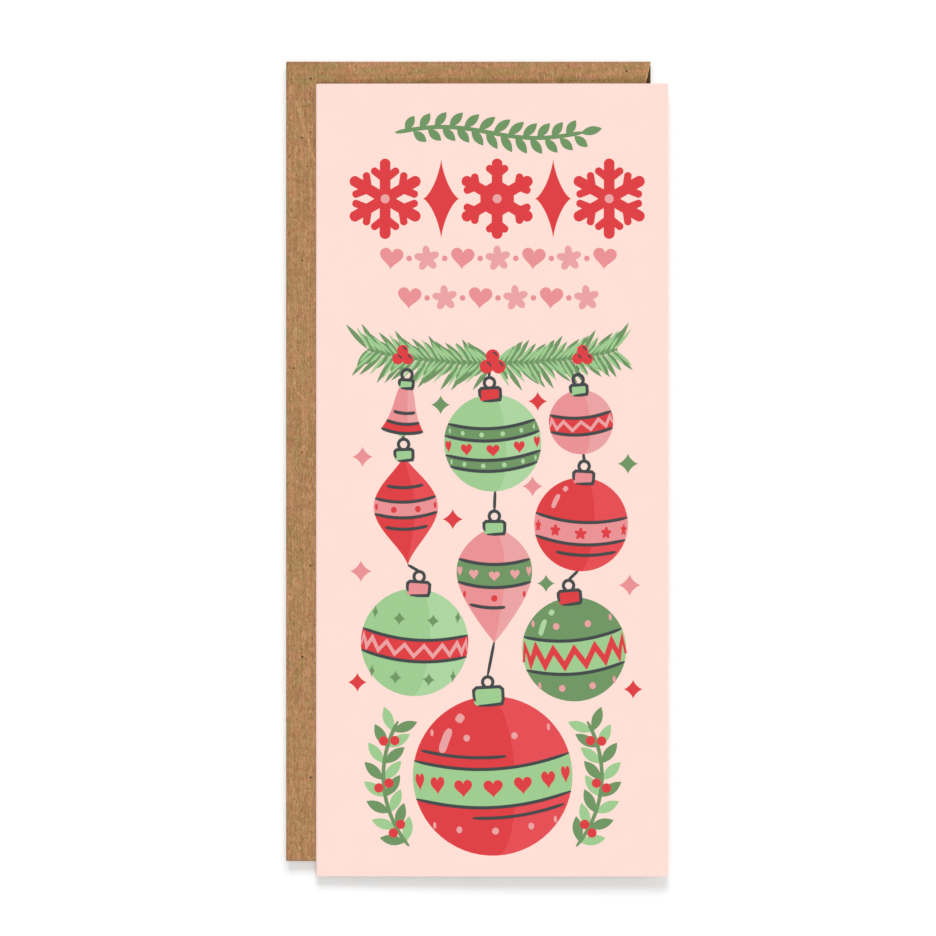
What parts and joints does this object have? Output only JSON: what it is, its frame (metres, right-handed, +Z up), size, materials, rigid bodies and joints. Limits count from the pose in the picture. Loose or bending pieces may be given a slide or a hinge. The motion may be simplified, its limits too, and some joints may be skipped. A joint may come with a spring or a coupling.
{
  "type": "money holder card",
  "caption": "Tall folded greeting card with a glued paper cash pocket inside, lying on its kraft paper envelope, whose seal flap is folded back beneath it.",
  "frame": {"origin": "on the table, under the middle of the outline of the card and the envelope together", "axes": "+Z up from the table, through the card's front; +Y to the card's top edge; +X from the card's spine to its fore edge and to the envelope's mouth"},
  "size_m": [0.1102, 0.2351, 0.0045],
  "materials": {
    "card_stock": "matte, uncoated",
    "pocket_paper": "matte, uncoated",
    "kraft_paper": "matte, unbleached",
    "paper_glue": "dried film",
    "dried_gum": "glossy film"
  },
  "bodies": {
    "envelope": {"envelope_face": "kraft_paper", "envelope_bottom_crease": "kraft_paper", "envelope_bottom_flap": "kraft_paper", "envelope_head_crease": "kraft_paper", "envelope_head_flap": "kraft_paper", "envelope_foot_crease": "kraft_paper", "envelope_foot_flap": "kraft_paper", "envelope_head_seam_glue": "paper_glue", "envelope_foot_seam_glue": "paper_glue", "seal_flap_crease": "kraft_paper"},
    "seal_flap": {"seal_flap": "kraft_paper", "seal_gum_strip": "dried_gum"},
    "card": {"card_back_cover": "card_stock", "card_spine_crease": "card_stock", "pocket_panel": "pocket_paper", "pocket_left_tab": "pocket_paper", "pocket_right_tab": "pocket_paper", "pocket_foot_tab": "pocket_paper", "pocket_left_glue": "paper_glue", "pocket_right_glue": "paper_glue", "pocket_foot_glue": "paper_glue"},
    "front_cover": {"card_front_cover": "card_stock"}
  },
  "joints": [
    {"name": "card_lift", "type": "slide", "parent": "envelope", "child": "card", "axis": [0, 0, 1], "range_m": [0, 0.08]},
    {"name": "cover_fold", "type": "hinge", "parent": "card", "child": "front_cover", "pos_m": [-0.0457, -0.00325, 0.00263], "axis": [0, -1, 0], "range_deg": [0, 179.4], "deforming": ["card_spine_crease"]},
    {"name": "flap_fold", "type": "hinge", "parent": "envelope", "child": "seal_flap", "pos_m": [0.04977, 0.00215, 0.00033], "axis": [0, -1, 0], "range_deg": [0, 179.5], "deforming": ["seal_flap_crease"]}
  ]
}
